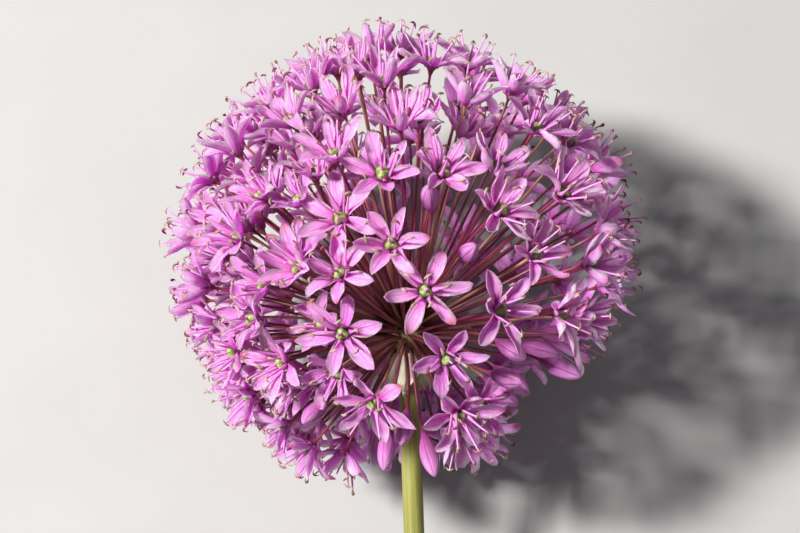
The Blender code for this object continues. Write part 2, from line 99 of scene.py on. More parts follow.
# %% [markdown]
# ## Where the florets are
#
# Every spray's solid holds several florets, fused at their feet and, for some, where
# two pedicels cross. Beyond all that the florets are separate islands, and each
# island's points are told apart by what they touch, like atoms in a molecule: a
# filament's tip touches only three points, the ovary's top touches six, a tepal's tip
# touches no point of the heart. An open floret has 52 points and a closed bud has 22.

# %% Split the sprays into florets
FUSED_REACH = 14 * MM
sprays = sorted(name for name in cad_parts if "_spray_" in name)


def touching(vert):
    """The vertices that share an edge with one."""
    return {edge.other_vert(vert) for edge in vert.link_edges}


def islands(shape):
    """Sets of vertices that hang together away from the receptacle."""
    left = {vert for vert in shape.verts if (vert.co - receptacle).length > FUSED_REACH}
    while left:
        grown, edge = set(), {left.pop()}
        while edge:
            grown |= edge
            edge = {other for vert in edge for other in touching(vert)} & left
            left -= edge
        yield grown


def throat_of(island):
    """The top of the pedicel, and the middle of its foot on the receptacle."""
    throat = {vert for vert in island if touching(vert) - island}
    feet = {other for vert in throat for other in touching(vert)} - island
    return throat, middle(vert.co for vert in feet)


# %% Tell a floret's points apart
def read_tepal(tip, tips, inner, throat):
    """One tepal and the filament before it, from the filament's tip."""
    heart_point = next(vert for vert in touching(tip) if len(touching(vert) & tips) == 1)
    a, b = touching(tip) - {heart_point}
    blades = (touching(a) & touching(b)) - tips - inner - throat
    low, high = sorted(blades, key=lambda vert: len(touching(vert) & throat), reverse=True)
    rim = (touching(low) & touching(high)) - {a, b}
    end = next(vert for vert in rim if not touching(vert) & {a, b})
    wide_a = next(vert for vert in rim if a in touching(vert))
    wide_b = next(vert for vert in rim if b in touching(vert))
    found = {
        "a": a, "b": b, "wide_a": wide_a, "wide_b": wide_b,
        "ridge": high, "tip": end, "stamen": tip, "foot": heart_point}
    return {label: vert.co.copy() for label, vert in found.items()}


def read_floret(island):
    """An open floret: its heart, its axis, its six tepals and its foot."""
    throat, foot = throat_of(island)
    tips = {vert for vert in island - throat if len(touching(vert)) == 3}
    inner = {vert for tip in tips for vert in touching(tip) if len(touching(vert) & tips) == 1}
    top = next(vert for vert in island if len(touching(vert) & inner) == 6)
    tepals = [read_tepal(tip, tips, inner, throat) for tip in tips]
    heart = middle(tepal[key] for tepal in tepals for key in ("a", "b"))
    axis = (top.co - heart).normalized()
    for tepal in tepals:
        out = tepal["tip"] - (tepal["a"] + tepal["b"]) / 2
        if out.cross(tepal["b"] - tepal["a"]).dot(axis) < 0:
            tepal["a"], tepal["b"] = tepal["b"], tepal["a"]
            tepal["wide_a"], tepal["wide_b"] = tepal["wide_b"], tepal["wide_a"]
    across = axis.orthogonal()
    around = axis.cross(across)

    def turn_of(tepal):
        out = tepal["tip"] - heart
        return math.atan2(out.dot(around), out.dot(across))

    tepals.sort(key=turn_of)
    return {"heart": heart, "axis": axis, "foot": foot, "tepals": tepals}


# %% Read every floret and bud
BUD_RINGS = 5
MOST_BUD_POINTS = 40


def read_bud(island):
    """A closed bud: its base, its tip, its widest radius and its foot."""
    throat, foot = throat_of(island)
    rings = [throat]
    while len(rings) < BUD_RINGS:
        seen = set().union(*rings)
        rings.append({other for vert in rings[-1] for other in touching(vert)} & island - seen)
    base, belly, tip = (middle(vert.co for vert in rings[place]) for place in (0, BUD_RINGS // 2, -1))
    widest = rings[BUD_RINGS // 2]
    radius = sum((vert.co - belly).length for vert in widest) / len(widest)
    return {"heart": base, "tip": tip, "radius": radius, "foot": foot}


florets, buds = [], []
for name in sprays:
    shape = welded(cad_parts[name])
    for island in sorted(islands(shape), key=lambda part: tuple(min(vert.co for vert in part))):
        if len(island) > MOST_BUD_POINTS:
            florets.append(read_floret(island))
        else:
            buds.append(read_bud(island))
    shape.free()
print(len(florets), "open florets and", len(buds), "buds")

# %% [markdown]
# ## The deeper florets
#
# A real umbel opens over weeks, so some florets sit a little deeper than the rest.
# They fill the wide places between the florets that were read. Directions are spread
# evenly over a globe, and the one that lies farthest from every floret is taken, again
# and again, until no wide place is left. Each deeper floret is a turned and smaller
# copy of one that was read. It is tried at many depths and in many turns about its own
# pedicel, and the one whose tepals keep most clear of those around it is kept. The
# crowded side, at the upper left, leaves less room between its florets. Four places
# stay open: round the stem, before the receptacle, where one looks into the umbel, low
# at the left, where single pedicels show, and low at the right, which is in bud.

# %% Turn a copy of a floret to a new place
CLOSE = 1 * MM
REACH_ROUND = 18 * MM
SPOT_PAIRS = (
    ("tip", "tip"), ("tip", "ridge"), ("ridge", "ridge"), ("wide_a", "wide_a"), ("wide_b", "wide_b"))


def turned(floret, way, size, roll, distance):
    """A copy of a floret that stands in another direction and distance from the receptacle."""
    heart = floret["heart"] - receptacle
    turn = heart.rotation_difference(way).to_matrix() @ Matrix.Rotation(roll, 3, heart)
    new_heart = receptacle + way * distance

    def moved(spot):
        return new_heart + turn @ (spot - floret["heart"]) * size

    tepals = [{label: moved(spot) for label, spot in tepal.items()} for tepal in floret["tepals"]]
    foot = receptacle + way * (floret["foot"] - receptacle).length
    return {"heart": new_heart, "axis": turn @ floret["axis"], "foot": foot, "tepals": tepals}


def tepal_spots(floret):
    """Points spread over a floret's tepals."""
    return [(tepal[one] + tepal[other]) / 2 for tepal in floret["tepals"] for one, other in SPOT_PAIRS]


def clearest(tries):
    """The one of several florets whose tepals keep most clear of those around them."""
    spots = np.array([spot for floret in florets for spot in tepal_spots(floret)])
    spots = spots[np.linalg.norm(spots - np.array(tries[0]["heart"]), axis=1) < REACH_ROUND]

    def crowding(floret):
        gaps = np.linalg.norm(np.array(tepal_spots(floret))[:, None] - spots[None], axis=2)
        return np.exp(-gaps / CLOSE).sum()

    return min(tries, key=crowding)


# %% Add the deeper florets
DIRECTIONS = 1500
GOLDEN_TURN = math.pi * (3 - math.sqrt(5))
NARROWEST = math.radians(10.6)
DEEPER = (0.8, 0.95)
SMALLER = (0.82, 0.95)
NEIGHBOURS = 4
DONORS = 12
TRIES = 60
CROWDED_SIDE = (-0.66, 0.72, 0.2)
CROWDING = 0.4
OPEN_PLACES = (
    ((0, -0.97, 0.25), 42), ((-0.06, -0.3, 0.95), 34),
    ((-0.5, -0.58, 0.64), 17), ((0.85, -0.5, 0.1), 38))
draws = np.random.default_rng(5)


def directions(count):
    """Unit vectors spread evenly over a globe."""
    heights = 1 - (np.arange(count) + 0.5) * 2 / count
    turns = np.arange(count) * GOLDEN_TURN
    rims = np.sqrt(1 - heights**2)
    return np.stack([rims * np.cos(turns), rims * np.sin(turns), heights], axis=1)


def toward(place):
    """The direction that is so far to the right, toward the crown and skyward."""
    return (right * place[0] + crown * place[1] + skyward * place[2]).normalized()


def add_deeper_florets():
    """Fills the widest places between the florets."""
    ways = directions(DIRECTIONS)
    for place, degrees in OPEN_PLACES:
        ways = ways[ways @ np.array(toward(place)) < math.cos(math.radians(degrees))]
    needed = NARROWEST * (1 - CROWDING * np.clip(ways @ np.array(toward(CROWDED_SIDE)), 0, 1))
    taken = np.array([(part["heart"] - receptacle).normalized() for part in florets + buds])
    nearest = np.arccos(np.clip(ways @ taken.T, -1, 1)).min(axis=1)
    distances = np.array([(floret["heart"] - receptacle).length for floret in florets])
    read = list(florets)
    while (nearest / needed).max() > 1:
        way = ways[(nearest / needed).argmax()]
        nearest = np.minimum(nearest, np.arccos(np.clip(ways @ way, -1, 1)))
        donor = max(draws.choice(len(read), DONORS), key=lambda number: np.dot(taken[number], way))
        neighbours = np.argsort(taken[: len(read)] @ way)[-NEIGHBOURS:]
        distance = distances[neighbours].mean()
        size = draws.uniform(*SMALLER)
        rolls = draws.uniform(0, math.tau, TRIES)
        depths = distance * draws.uniform(*DEEPER, TRIES)
        tries = [turned(read[donor], Vector(way), size, *place) for place in zip(rolls, depths)]
        florets.append(clearest(tries))


add_deeper_florets()
print(len(florets), "florets with the deeper ones")

# %% [markdown]
# ## Sums that become nodes
#
# A shape that follows a rule can be made in nodes, but a long formula is slow to read
# as a tree of Math nodes. A `Field` stands for the output of a node, and adding or
# multiplying two of them adds a Math or Vector Math node to the tree. The same small
# class serves the geometry trees and the materials.

# %% Nodes, and outputs that can be added and multiplied
def plug(tree, socket, value):
    """Gives a socket a link or a plain value."""
    if isinstance(value, Field):
        tree.links.new(value.socket, socket)
    else:
        socket.default_value = value


def add_node(tree, kind, values=(), **settings):
    """A new node with its settings, and its inputs as pairs of name and value."""
    node = tree.nodes.new(kind)
    for key, value in settings.items():
        setattr(node, key, value)
    for key, value in dict(values).items():
        plug(tree, node.inputs[key], value)
    return node


def operator(operation, turned_round=False):
    """What a Field does when it is added, multiplied or the like: it makes a node."""

    def make(self, other):
        return worked(operation, *((other, self) if turned_round else (self, other)))

    return make


class Field:
    """The output of a node, as a number or a vector that changes from point to point."""

    __add__ = __radd__ = operator("ADD")
    __mul__ = __rmul__ = operator("MULTIPLY")
    __sub__ = operator("SUBTRACT")
    __rsub__ = operator("SUBTRACT", turned_round=True)
    __truediv__ = operator("DIVIDE")
    __pow__ = operator("POWER")

    def __init__(self, tree, socket):
        self.tree = tree
        self.socket = socket


def is_vector(value):
    """Whether a value is a vector and not a number."""
    return value.socket.type == "VECTOR" if isinstance(value, Field) else isinstance(value, Vector)


def made(tree, kind, values=(), output=0, **settings):
    """The output of a new node."""
    return Field(tree, add_node(tree, kind, values, **settings).outputs[output])


def worked(operation, *values):
    """One Math or Vector Math node, whichever the values need."""
    tree = next(value.tree for value in values if isinstance(value, Field))
    vectors = [is_vector(value) for value in values]
    if not any(vectors):
        return made(tree, "ShaderNodeMath", enumerate(values), operation=operation)
    if operation == "MULTIPLY" and not all(vectors):
        vector, scale = sorted(values, key=is_vector, reverse=True)
        return made(tree, "ShaderNodeVectorMath", [(0, vector), ("Scale", scale)], operation="SCALE")
    return made(tree, "ShaderNodeVectorMath", enumerate(values), operation=operation)


# %% Sums by name
smallest = partial(worked, "MINIMUM")
largest = partial(worked, "MAXIMUM")
sine = partial(worked, "SINE")
cosine = partial(worked, "COSINE")
unit = partial(worked, "NORMALIZE")
cross = partial(worked, "CROSS_PRODUCT")
size_of = partial(worked, "ABSOLUTE")


def eased(number):
    """A number from 0 to 1 with a soft start and a soft end."""
    held = smallest(largest(number, 0), 1)
    return held * held * (3 - 2 * held)


def angle_round(across, face):
    """How far round its tube a point lies."""
    return worked("ARCTAN2", face, across)


def vector_of(x, y, z):
    """A vector from three numbers."""
    return made(x.tree, "ShaderNodeCombineXYZ", [("X", x), ("Y", y), ("Z", z)])


def numbers_of(vector):
    """The three numbers of a vector."""
    node = add_node(vector.tree, "ShaderNodeSeparateXYZ", [("Vector", vector)])
    return [Field(vector.tree, socket) for socket in node.outputs]


def noise(where, scale, detail=2.0):
    """Noise about 0, from -0.5 to 0.5."""
    values = [("Vector", where), ("Scale", scale), ("Detail", detail)]
    return made(where.tree, "ShaderNodeTexNoise", values, "Fac") - 0.5


# %% [markdown]
# ## One kind of tree for every grown part
#
# A pedicel, a filament, an anther, a bud and a tepal are each a tube with its own line
# and outline. The guide is a mesh of bare points, one for each copy, and its attributes
# say how that copy lies. The tree puts a unit cylinder on every point, realizes the
# copies, and moves every vertex to where the formula puts it: `along` runs from 0 at
# the foot to 1 at the tip, and `across` and `face` go round the tube. The tree's inputs
# are the part's sizes, and the modifier sets them by identifier.
#
# What reaches down to the table is pressed flat against it, as soft tepals are.

# %% Build the tree
TABLE_CUSHION = 0.35 * MM
RIM_SHARE = 0.95
NUMBER = ("FLOAT", "value")
ARROW = ("FLOAT_VECTOR", "vector")


def pressed(spot):
    """Keeps a point above the table: the nearer it comes, the slower it sinks."""
    x, y, z = numbers_of(spot)
    sunk = worked("EXPONENT", smallest(z / TABLE_CUSHION, 1.0) - 1.0) * TABLE_CUSHION
    return vector_of(x, y, sunk + largest(z - TABLE_CUSHION, 0.0))


def unit_tubes(points, sides, rings):
    """A tube on every point, whose vertices know how far across, out and along it they lie."""
    tree = points.tree
    sizes = [("Vertices", sides), ("Side Segments", rings), ("Radius", 1.0), ("Depth", 1.0)]
    tube = made(tree, "GeometryNodeMeshCylinder", sizes, "Mesh")
    across, face, height = numbers_of(made(tree, "GeometryNodeInputPosition"))
    for label, value in (("across", across), ("face", face), ("along", height + 0.5)):
        values = [("Geometry", tube), ("Name", label), ("Value", value)]
        tube = made(tree, "GeometryNodeStoreNamedAttribute", values)
    copies = made(tree, "GeometryNodeInstanceOnPoints", [("Points", points), ("Instance", tube)])
    return made(tree, "GeometryNodeRealizeInstances", [("Geometry", copies)])


def shaded(mesh, across, sharp_rim):
    """Smooth faces, and where it is wanted a sharp edge along both rims of a blade."""
    smooth = made(mesh.tree, "GeometryNodeSetShadeSmooth", [("Geometry", mesh)])
    if not sharp_rim:
        return smooth
    rim = worked("GREATER_THAN", size_of(across), RIM_SHARE)
    values = [("Geometry", smooth), ("Selection", rim), ("Shade Smooth", False)]
    return made(mesh.tree, "GeometryNodeSetShadeSmooth", values, domain="EDGE")


def build_tree(name, guide_kinds, sides, rings, sizes, shape, material, sharp_rim):
    """A Geometry Nodes tree that grows one bent tube on every point of a guide."""
    tree = bpy.data.node_groups.new(name, "GeometryNodeTree")
    for way in ("INPUT", "OUTPUT"):
        tree.interface.new_socket("Geometry", in_out=way, socket_type="NodeSocketGeometry")
    for label in sizes:
        tree.interface.new_socket(label, in_out="INPUT", socket_type="NodeSocketFloat")
    given = tree.nodes.new("NodeGroupInput")
    tubes = unit_tubes(Field(tree, given.outputs["Geometry"]), sides, rings)
    fields = {label: Field(tree, given.outputs[label]) for label in sizes}
    tube_kinds = [(label, NUMBER) for label in ("across", "face", "along")]
    for label, kind in tube_kinds + guide_kinds:
        reader = "GeometryNodeInputNamedAttribute"
        fields[label] = made(tree, reader, [("Name", label)], "Attribute", data_type=kind[0])
    at = SimpleNamespace(**fields)
    values = [("Geometry", tubes), ("Position", pressed(shape(at)))]
    grown = made(tree, "GeometryNodeSetPosition", values)
    smooth = shaded(grown, at.across, sharp_rim)
    coloured = made(tree, "GeometryNodeSetMaterial", [("Geometry", smooth), ("Material", material)])
    add_node(tree, "NodeGroupOutput", [("Geometry", coloured)])
    return tree


# %% Lines and tubes for the formulas
QUARTER_TURN = math.pi / 2


def path(at, share):
    """A point on the curve from heel past bend to tip, and the way that the curve runs there."""
    rest = 1 - share
    spot = at.heel * (rest * rest) + at.bend * (share * rest * 2) + at.tip * (share * share)
    return spot, unit((at.bend - at.heel) * rest + (at.tip - at.bend) * share)


def straight(heel, tip, side, **others):
    """A guide's row for a part that runs straight from heel to tip."""
    return {"heel": heel, "bend": (heel + tip) / 2, "tip": tip, "side": side, **others}


def round_tube(at, share, radius, flare=0.0):
    """A point of a round tube along such a curve, which may flare to its two sides."""
    spot, ahead = path(at, share)
    up = unit(cross(ahead, at.side))
    side = cross(up, ahead)
    return spot + side * (at.across * (radius + flare)) + up * (at.face * radius)


# %% Grow a piece from its guide
def placed(name, data):
    """A new object in the scene."""
    thing = bpy.data.objects.new(name, data)
    bpy.context.scene.collection.objects.link(thing)
    return thing


def plain_mesh(thing):
    """The mesh that an object's modifiers make."""
    return bpy.data.meshes.new_from_object(thing.evaluated_get(bpy.context.evaluated_depsgraph_get()))


def guide_of(name, rows, kinds):
    """An object of bare points that carry each row's numbers and vectors as attributes."""
    mesh = bpy.data.meshes.new(name)
    mesh.from_pydata([row["heel"] for row in rows], [], [])
    for label, (kind, field) in kinds:
        attribute = mesh.attributes.new(label, kind, "POINT")
        attribute.data.foreach_set(field, np.ravel([row[label] for row in rows]))
    return placed(name, mesh)


def grow(name, rows, shape, material, sides, rings, sharp_rim=False, **sizes):
    """A plain mesh with one copy of a shape for each row, as one piece."""
    kinds = [(label, ARROW if is_vector(value) else NUMBER) for label, value in rows[0].items()]
    tree = build_tree(name, kinds, sides, rings, sizes, shape, material, sharp_rim)
    guide = guide_of(name + "_guide", rows, kinds)
    modifier = guide.modifiers.new(name, "NODES")
    modifier.node_group = tree
    for item in tree.interface.items_tree:
        if item.name in sizes:
            modifier[item.identifier] = sizes[item.name]
    mesh = plain_mesh(guide)
    mesh.name = name
    for label, kind in kinds:
        if kind == ARROW:
            mesh.attributes.remove(mesh.attributes[label])
    bpy.data.objects.remove(guide)
    piece = placed(name, mesh)
    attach(piece, "root")
    mesh.calc_loop_triangles()
    print(name, len(rows), "copies,", len(mesh.loop_triangles), "triangles")
    return piece


# %% [markdown]
# ## Colours and finishes
#
# Each finish starts from one function that makes a Principled material, and its
# pattern is then a few sums of the attributes that the tree left on the mesh: `along`,
# `across` and `face` for what follows the part, `tint` for what differs from one floret
# to the next. A pattern that is tied to the surface stays in place from every side.

# %% Tools for finishes
def new_finish(name, roughness, glow=(), others=()):
    """A material and its node tree, with plain numbers on the shader's own sockets.

    The glow is the weight, the depth and the colour of the light that passes through.
    """
    material = bpy.data.materials.new(name)
    material.use_nodes = True
    shader = material.node_tree.nodes["Principled BSDF"]
    passing = zip(("Subsurface Weight", "Subsurface Scale", "Subsurface Radius"), glow)
    for label, value in [("Roughness", roughness), *passing, *others]:
        shader.inputs[label].default_value = value
    return material, material.node_tree


def marked(tree, labels):
    """The fields of a mesh's attributes in a material, whose names stand in one string."""
    reader = "ShaderNodeAttribute"
    return [made(tree, reader, output="Fac", attribute_name=label) for label in labels.split()]


def speckle(tree, scale, detail=2.0):
    """Noise in the piece's own space."""
    return noise(made(tree, "ShaderNodeTexCoord", output="Object"), scale, detail)


def layered(ground, *layers):
    """A colour with others laid over it, each as far as its share says."""
    colour = (*ground, 1)
    for share, tone in layers:
        values = [(0, share), (6, colour), (7, (*tone, 1))]
        colour = made(share.tree, "ShaderNodeMix", values, 2, data_type="RGBA")
    return colour


def toned(colour, hue, value):
    """A colour with its hue turned and its brightness changed."""
    values = [("Hue", 0.5 + hue), ("Value", 1.0 + value), ("Color", colour)]
    return made(colour.tree, "ShaderNodeHueSaturation", values)


def painted(material, colour, height=None, relief=0.0):
    """A material with its colour, and with relief where it has one."""
    shader = material.node_tree.nodes["Principled BSDF"]
    plug(colour.tree, shader.inputs["Base Color"], colour)
    if height is not None:
        bump = made(height.tree, "ShaderNodeBump", [("Height", height), ("Distance", relief)])
        plug(height.tree, shader.inputs["Normal"], bump)
    return material


# %% [markdown]
# ### The tepals' finish
#
# A tepal is violet pink, deepest at its claw and along its midvein, paler to its
# edges, with fine streaks from end to end. A few have rosy tips. The pale layer is
# also painted light: with patches of brightness it paints mottled light and shade
# over the blade, and the underside is painted lighter, as painted fill light in its
# shade, though it takes less of the pale layer. Light also passes through a tepal:
# a little subsurface scattering lets its shaded side glow.

# %% Tepal finish
CLAW_TONE = (0.56, 0.075, 0.42)
BLADE_TONE = (0.65, 0.23, 0.56)
# The pale tone is partly the tepal's own paler margins and partly painted light in patches over the
# blade.
PALE_EDGE_AND_LIGHT_TONE = (0.88, 0.53, 0.84)
VEIN_TONE = (0.42, 0.06, 0.36)
TIP_TONE = (0.60, 0.055, 0.13)


def tepal_finish():
    material, tree = new_finish(
        "tepal violet pink", 0.4, (0.9, 0.9 * MM, (1.0, 0.5, 0.95)), [("Specular IOR Level", 0.3)])
    along, across, face, tint, seed, blush = marked(tree, "along across face tint seed blush")
    wide = size_of(across)
    # Underside mask: it paints the underside lighter, as painted fill light in its shade, and gives it
    # less of the pale layer.
    under = eased(face * -2.0)
    streak = noise(vector_of(across * 3.0, along * 0.9, seed * 40.0), 3.0, 4.0)
    # Patches at random that paint mottled light and shade on the tepals, through the pale layer and the
    # brightness.
    patch = speckle(tree, 320.0)
    blade = eased(along * 2.4 + streak * 0.5)
    pale = eased(wide * 0.5 + 0.05 + streak * 2.6 + patch * 1.2) * (0.42 - under * 0.27)
    vein = largest(1.0 - wide / 0.09, 0.0) * (0.75 - 0.2 * face) * (1.0 - along * 0.6)
    rosy = eased(along * 2.6 - 1.6 + streak * 0.8) * blush
    tones = (blade, BLADE_TONE), (pale, PALE_EDGE_AND_LIGHT_TONE), (vein, VEIN_TONE), (rosy, TIP_TONE)
    # The brightness change paints mottled light and shade with the patches, and lightens the underside
    # as painted fill light.
    colour = toned(layered(CLAW_TONE, *tones), tint * 0.012, tint * 0.1 + patch * 0.4 + under * 0.5)
    return painted(material, colour, streak - vein * 0.5, 0.35 * MM)


# %% [markdown]
# ## The tepals
#
# Each floret has two rings of three tepals. A tepal is a narrow claw that widens to a
# blade and closes again to a blunt tip; its edges turn up a little and its midvein
# is a shallow groove. The solids give its two ends, its widest place and its ridge,
# and from those come the curve it follows, the way it faces and how cupped it is.

# %% Read the tepals' curves
RIDGE_SHARE = 0.46
WIDEST_SHARE = 0.54
RIDGE_DISH = 0.1 * MM
BLUSHING = 0.17
LENGTHS = (0.88, 1.0)
WIDTHS = (0.72, 0.9)
POINTEDNESS = (0.5, 0.85)
TWIST_SPREAD = 0.25
CURL_MEAN = 0.1
CURL_SPREAD = 0.7
ROLLS = (0.2, 2.2)
FLORET_TINT_SPREAD = 0.6
TEPAL_TINT_SPREAD = 0.25


def curve_through(heel, spot, share, tip):
    """The bend of the curve from heel to tip that passes a spot at a share of its length."""
    rest = 1 - share
    return (spot - heel * rest**2 - tip * share**2) / (2 * share * rest)


def on_curve(heel, bend, tip, share):
    """A point of such a curve."""
    rest = 1 - share
    return heel * rest**2 + bend * (2 * share * rest) + tip * share**2


def tepal_row(tepal, inner, tint):
    heel = (tepal["a"] + tepal["b"]) / 2
    side = (tepal["wide_b"] - tepal["wide_a"]).normalized()
    up = (tepal["tip"] - heel).cross(side).normalized()
    bend = curve_through(heel, tepal["ridge"] + up * RIDGE_DISH, RIDGE_SHARE, tepal["tip"])
    broad = (tepal["wide_a"] + tepal["wide_b"]) / 2
    length = draws.uniform(*LENGTHS)
    return {
        "heel": heel,
        "bend": heel + (bend - heel) * length,
        "tip": on_curve(heel, bend, tepal["tip"], length),
        "side": side,
        "heel_side": (tepal["b"] - tepal["a"]).normalized(),
        "half_width": (tepal["wide_b"] - tepal["wide_a"]).length / 2 * draws.uniform(*WIDTHS),
        "cup": (broad - on_curve(heel, bend, tepal["tip"], WIDEST_SHARE)).dot(up),
        "layer": float(inner),
        "tint": tint + draws.normal(0, TEPAL_TINT_SPREAD),
        "seed": draws.uniform(),
        "point": draws.uniform(*POINTEDNESS),
        "twist": draws.normal(0, TWIST_SPREAD),
        "curl": draws.normal(CURL_MEAN, CURL_SPREAD) * MM,
        "roll": draws.uniform(*ROLLS),
        "blush": float(draws.uniform() < BLUSHING),
    }


for floret in florets:
    floret["tint"] = draws.normal(0, FLORET_TINT_SPREAD)
tepal_rows = [
    tepal_row(tepal, number % 2, floret["tint"])
    for floret in florets for number, tepal in enumerate(floret["tepals"])
]
print(len(tepal_rows), "tepals")


# %% Grow the tepals
CURL_START = 0.6


def tepal_shape(at):
    share = at.along * 0.5 + sine(at.along * QUARTER_TURN) * 0.5
    spot, ahead = path(at, share)
    rise = smallest(share / WIDEST_SHARE, 1.0)
    fall = largest(share - WIDEST_SHARE, 0.0) / (1 - WIDEST_SHARE)
    breadth = (at.claw + (1 - at.claw) * sine(rise * QUARTER_TURN) ** 1.2) * (1 - fall**2.1) ** at.point
    flat = unit(at.heel_side * (1 - rise) + at.side * rise)
    turn = at.twist * share
    side = flat * cosine(turn) + cross(ahead, flat) * sine(turn)
    up = unit(cross(ahead, side))
    edge = at.across * at.across
    cupped = at.cup * ((edge + size_of(at.across)) * 0.5) + edge * edge * at.inroll * at.roll
    groove = (1 - edge) * (1 - edge) * at.groove
    wave = sine(share * 9.0 + at.seed * 40.0 + at.across * 1.5) * edge * at.wave * rise
    end = largest(share - CURL_START, 0.0) / (1 - CURL_START)
    lift = (cupped - groove) * breadth + wave + at.curl * end * end
    plate = at.face * at.thickness * (1.25 - share) * 0.5
    layers = at.layer * (1 - share) * at.overlap
    reach = at.across * (at.half_width * breadth + at.blunt)
    return spot + side * reach + up * (lift + plate + layers)


tepals = grow(
    "tepals", tepal_rows, tepal_shape, tepal_finish(), sides=8, rings=8, sharp_rim=True,
    claw=0.4, thickness=0.3 * MM, groove=0.15 * MM, inroll=0.4 * MM, wave=0.3 * MM,
    overlap=0.3 * MM, blunt=0.06 * MM)
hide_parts(*sprays)

# %% [markdown]
# ## The stamens
#
# Six filaments stand before the tepals. Each is broad where it joins the tepal's foot
# and tapers to a thread, and a small anther lies across its end. Anthers change while
# a floret ages: dark and plump before they open, then dull cream and shrunken. The
# style in the middle is one more thread, so it grows with the filaments.

# %% Filament and anther finishes
FILAMENT_FOOT_TONE = (0.60, 0.16, 0.50)
FILAMENT_TONE = (0.61, 0.20, 0.54)
FILAMENT_END_TONE = (0.67, 0.29, 0.57)
CLOSED_TONE = (0.15, 0.022, 0.05)
OPEN_TONE = (0.27, 0.17, 0.11)
RIPE_TONE = (0.38, 0.28, 0.20)
ANTHER_SEAM_TONE = (0.16, 0.07, 0.06)


def filament_finish():
    material, tree = new_finish("filament pink", 0.6, (0.2, 0.5 * MM, (1.0, 0.45, 0.9)))
    along, tint = marked(tree, "along tint")
    thread, end = eased(along * 2.5), eased(along * 2.0 - 0.8)
    colour = layered(FILAMENT_FOOT_TONE, (thread, FILAMENT_TONE), (end, FILAMENT_END_TONE))
    return painted(material, toned(colour, tint * 0.01, tint * 0.1))


def anther_finish():
    material, tree = new_finish("anther cream", 0.7)
    ripeness, across = marked(tree, "ripeness across")
    grain = speckle(tree, 6000.0)
    opened, ripe = eased(ripeness * 8.0 - 1.0), eased(ripeness * 4.0 - 1.6)
    seam = eased(1.0 - size_of(across) * 3.0) * 0.5
    colour = layered(CLOSED_TONE, (opened, OPEN_TONE), (ripe, RIPE_TONE), (seam, ANTHER_SEAM_TONE))
    return painted(material, toned(colour, 0.0, grain * 0.5), grain, 0.05 * MM)


# %% Grow the filaments and styles
FILAMENT_RING = 1.22 * MM
FILAMENT_REACH = 1.1
FILAMENT_ARCHES = (0.02, 0.12)
FILAMENT_TINT_SPREAD = 0.3
STYLE_FOOT = 1.9 * MM
STYLE_LENGTH = 3.0 * MM
STYLE_LEAN = 0.35
FLARE_SHARE = 0.5


def filament_row(floret, tepal):
    """A filament from the ring round the ovary to its tip."""
    heart, axis = floret["heart"], floret["axis"]
    radial = tepal["foot"] - heart
    radial = (radial - axis * radial.dot(axis)).normalized()
    heel = heart + radial * FILAMENT_RING
    tip = heel + (tepal["stamen"] - heel) * FILAMENT_REACH
    rise = axis * (tip - heel).length * draws.uniform(*FILAMENT_ARCHES)
    tint = floret["tint"] + draws.normal(0, FILAMENT_TINT_SPREAD)
    return {"heel": heel, "bend": (heel + tip) / 2 + rise, "tip": tip, "side": axis.cross(radial),
            "broad": 1.0, "tint": tint}


def style_row(floret):
    axis = floret["axis"]
    heel = floret["heart"] + axis * STYLE_FOOT
    side = axis.orthogonal()
    tip = heel + axis * STYLE_LENGTH + side * draws.normal(0, STYLE_LEAN) * MM
    return straight(heel, tip, side, broad=0.0, tint=1.0)


def filament_shape(at):
    radius = at.foot_radius + (at.tip_radius - at.foot_radius) * at.along
    flare = at.broad * at.flare * largest(1 - at.along / FLARE_SHARE, 0.0) ** 1.6
    return round_tube(at, at.along, radius, flare)


filament_rows = [filament_row(floret, tepal) for floret in florets for tepal in floret["tepals"]]
filaments = grow(
    "filaments", filament_rows + [style_row(floret) for floret in florets], filament_shape,
    filament_finish(), sides=5, rings=6, foot_radius=0.34 * MM, tip_radius=0.14 * MM, flare=0.45 * MM)


# %% Grow the anthers
HALF_ANTHERS = (0.75, 1.15)
ANTHER_CURLS = (0.2, 1.0)
ANTHER_TILT = 0.35
SHRINKING = 0.35


def anther_row(filament):
    """An anther across the end of a filament, turned any way about it."""
    ahead = (filament["tip"] - filament["bend"]).normalized()
    turn = Matrix.Rotation(draws.uniform(0, math.tau), 3, ahead)
    lie = (turn @ ahead.orthogonal() + ahead * draws.normal(0, ANTHER_TILT)).normalized()
    return {"heel": filament["tip"].copy(), "lie": lie, "side": ahead.cross(lie).normalized(),
            "half_length": draws.uniform(*HALF_ANTHERS) * MM, "curl": draws.uniform(*ANTHER_CURLS) * MM,
            "ripeness": draws.uniform()}


def anther_shape(at):
    reach = at.along * 2 - 1
    up = cross(at.lie, at.side)
    spot = at.heel + at.lie * (reach * at.half_length) - up * (reach * reach * at.curl)
    outline = (1.04 - (reach * reach) ** 1.6) ** 0.5
    plump = 1.0 - at.ripeness * SHRINKING
    breadth = at.across * outline * at.radius * plump
    depth = at.face * (0.55 + 0.45 * at.across * at.across) * outline * at.radius * plump
    return spot + at.side * breadth + up * depth


anthers = grow(
    "anthers", [anther_row(filament) for filament in filament_rows], anther_shape, anther_finish(),
    sides=8, rings=4, radius=0.33 * MM)

# %% [markdown]
# ## The ovaries
#
# The green knob in the middle of a floret is its ovary. It has three lobes with a
# warty skin and a shine, and it stands on a narrow foot. Its formula takes the tube
# round in latitudes, as a globe is, and swells it at three longitudes.

# %% Grow the ovaries
OVARY_MIDDLE = 1.1 * MM
OVARY_SIZES = (0.9, 1.12)
OVARY_SPAN = math.pi * 0.97
TINT_SPREAD = 0.5
LOBES = 3.0
